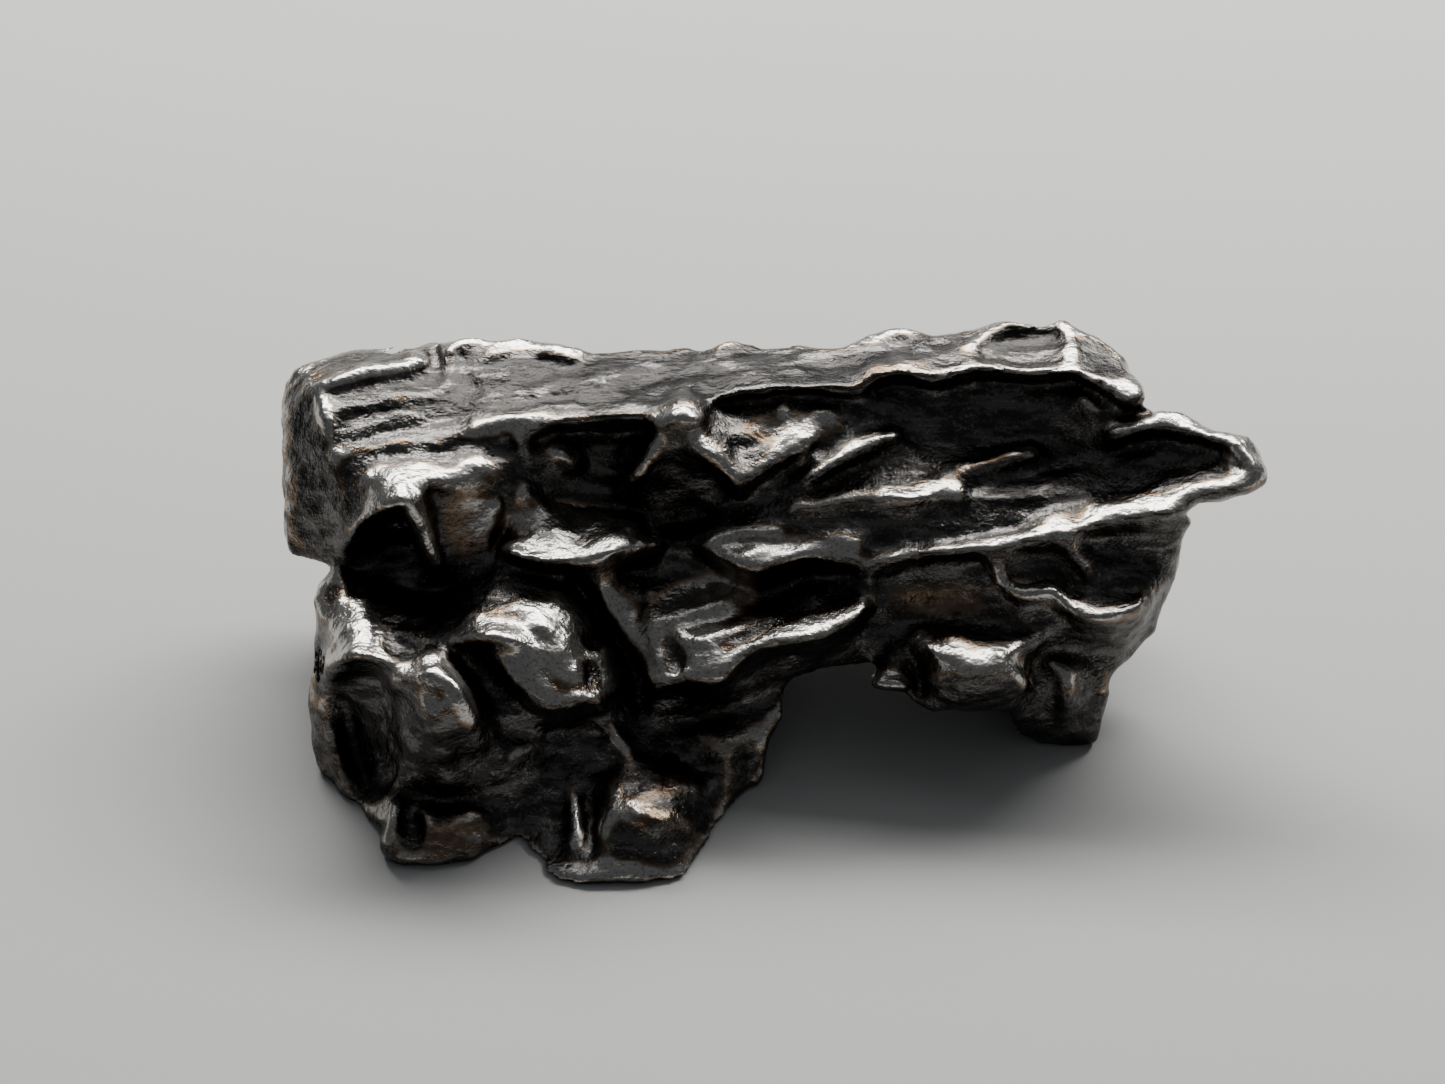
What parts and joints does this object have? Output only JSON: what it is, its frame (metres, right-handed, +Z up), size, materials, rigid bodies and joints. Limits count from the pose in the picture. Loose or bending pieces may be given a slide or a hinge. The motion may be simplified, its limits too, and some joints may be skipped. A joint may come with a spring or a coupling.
{
  "type": "whole iron meteorite",
  "caption": "Small whole iron meteorite with a flat streaked top, pits, sharp ledges and a pointed beak, resting on its knuckled feet.",
  "frame": {"origin": "on the ground under the middle of the stone's box", "axes": "+Z up with the stone at rest, +X along its length towards the pointed beak, -Y towards the eye of the picture"},
  "size_m": [0.0358, 0.0182, 0.0115],
  "materials": {
    "iron": "dark oxidised iron, glossy, with ridges rubbed to bare steel"
  },
  "bodies": {
    "root": {"meteorite": "iron"}
  },
  "joints": []
}
